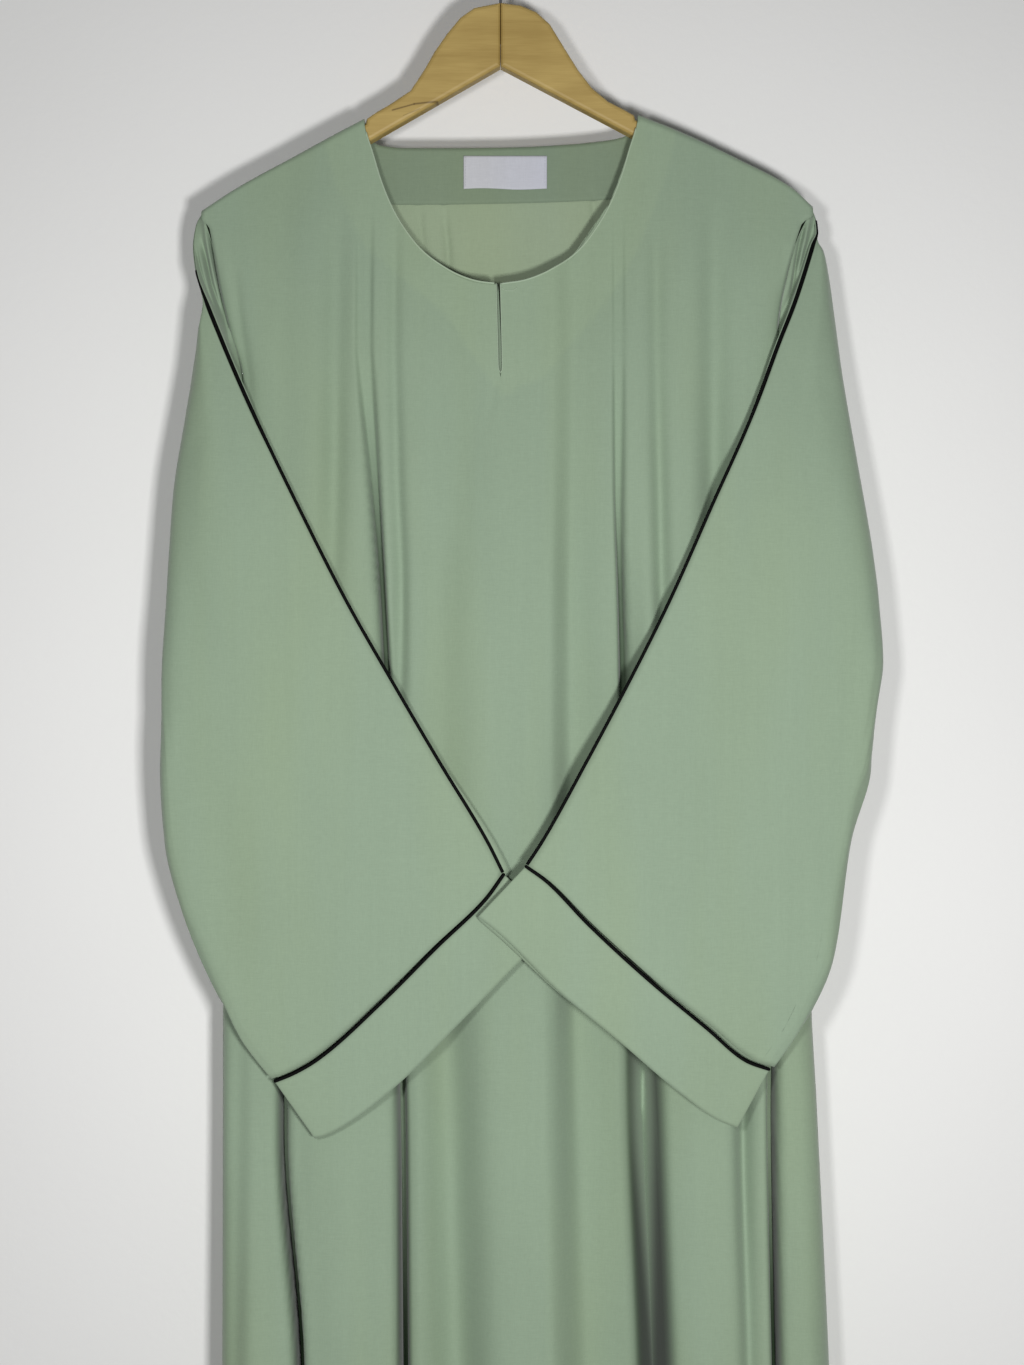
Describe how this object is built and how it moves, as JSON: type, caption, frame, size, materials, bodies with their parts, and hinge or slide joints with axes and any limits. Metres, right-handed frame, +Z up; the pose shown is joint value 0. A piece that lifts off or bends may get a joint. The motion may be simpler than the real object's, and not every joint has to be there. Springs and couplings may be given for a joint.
{
  "type": "abaya on wooden hanger",
  "caption": "Long pull-on abaya with a round neck, front slit and piped, folded-over sleeves, hanging on a flat wooden hanger.",
  "frame": {"origin": "inside top of the hanger's hook, where a rail holds it", "axes": "+X to the viewer's right across the shoulders, +Y away from the viewer through the back, +Z up"},
  "size_m": [0.5255, 0.0982, 1.5501],
  "materials": {
    "cloth": "plain woven crepe, matt",
    "cloth_sleeve": "plain woven crepe, matt",
    "facing": "fused crepe, matt",
    "piping": "narrow black corded piping",
    "label": "woven tape, bare",
    "wood": "clear lacquer",
    "steel": "plain wire"
  },
  "bodies": {
    "root": {"body_front": "cloth", "body_back": "cloth", "sleeve_left_front": "cloth_sleeve", "sleeve_left_back": "cloth_sleeve", "sleeve_right_front": "cloth_sleeve", "sleeve_right_back": "cloth_sleeve", "cuff_left": "cloth_sleeve", "cuff_right": "cloth_sleeve", "piping_sleeve_left": "piping", "piping_sleeve_right": "piping", "piping_cuff_left": "piping", "piping_cuff_right": "piping", "neck_facing_front": "facing", "neck_facing_back": "facing", "label": "label", "hanger_arm_left": "wood", "hanger_arm_right": "wood", "hanger_hook": "steel"}
  },
  "joints": []
}
